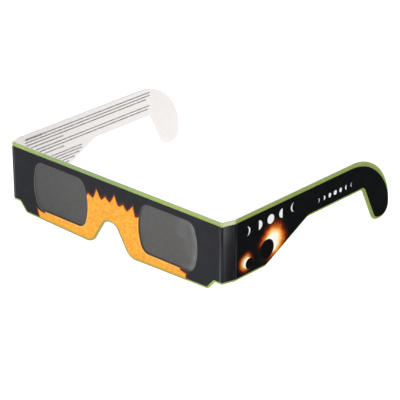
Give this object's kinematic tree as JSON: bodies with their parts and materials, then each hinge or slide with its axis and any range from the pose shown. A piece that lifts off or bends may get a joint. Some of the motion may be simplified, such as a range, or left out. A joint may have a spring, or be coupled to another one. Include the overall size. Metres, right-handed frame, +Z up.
{
  "type": "folding card eclipse glasses",
  "caption": "Folding card glasses with dark filter windows, a nose notch and side arms that end in ear hooks and fold inwards at upright creases.",
  "frame": {"origin": "bottom centre of the object's box at rest, with the arms open: X = 0 is the middle of the front and Z = 0 the surface that it stands on", "axes": "+X to the right as seen from the front, +Y from the front towards the ear hooks, +Z up"},
  "size_m": [0.1466, 0.124, 0.0377],
  "materials": {
    "black_print": "semi-gloss print",
    "green_edged_board": "green border, matte",
    "white_board": "uncoated, matte",
    "solar_film": "dark, faintly mirrored"
  },
  "bodies": {
    "front": {"front_print_sheet": "black_print", "front_outer_board": "green_edged_board", "front_inner_board": "white_board", "left_filter_film": "solar_film", "right_filter_film": "solar_film"},
    "left_spine": {"left_spine_print_sheet": "black_print", "left_spine_outer_board": "green_edged_board", "left_spine_inner_board": "white_board", "left_front_crease": "black_print", "left_temple_crease": "black_print"},
    "left_temple": {"left_temple_print_sheet": "black_print", "left_temple_outer_board": "green_edged_board", "left_temple_inner_board": "white_board"},
    "right_spine": {"right_spine_print_sheet": "black_print", "right_spine_outer_board": "green_edged_board", "right_spine_inner_board": "white_board", "right_front_crease": "black_print", "right_temple_crease": "black_print"},
    "right_temple": {"right_temple_print_sheet": "black_print", "right_temple_outer_board": "green_edged_board", "right_temple_inner_board": "white_board"}
  },
  "joints": [
    {"name": "right_front_fold", "type": "hinge", "parent": "front", "child": "right_spine", "pos_m": [0.071, -0.0617, 0.0219], "axis": [0, 0, 1], "range_deg": [-73, 17]},
    {"name": "right_temple_fold", "type": "hinge", "parent": "right_spine", "child": "right_temple", "pos_m": [0.07305, -0.055, 0.0219], "axis": [0, 0, 1], "range_deg": [-17, 69]},
    {"name": "left_front_fold", "type": "hinge", "parent": "front", "child": "left_spine", "pos_m": [-0.071, -0.0617, 0.0219], "axis": [0, 0, -1], "range_deg": [-73, 17]},
    {"name": "left_temple_fold", "type": "hinge", "parent": "left_spine", "child": "left_temple", "pos_m": [-0.07305, -0.055, 0.0219], "axis": [0, 0, -1], "range_deg": [-17, 73]}
  ]
}
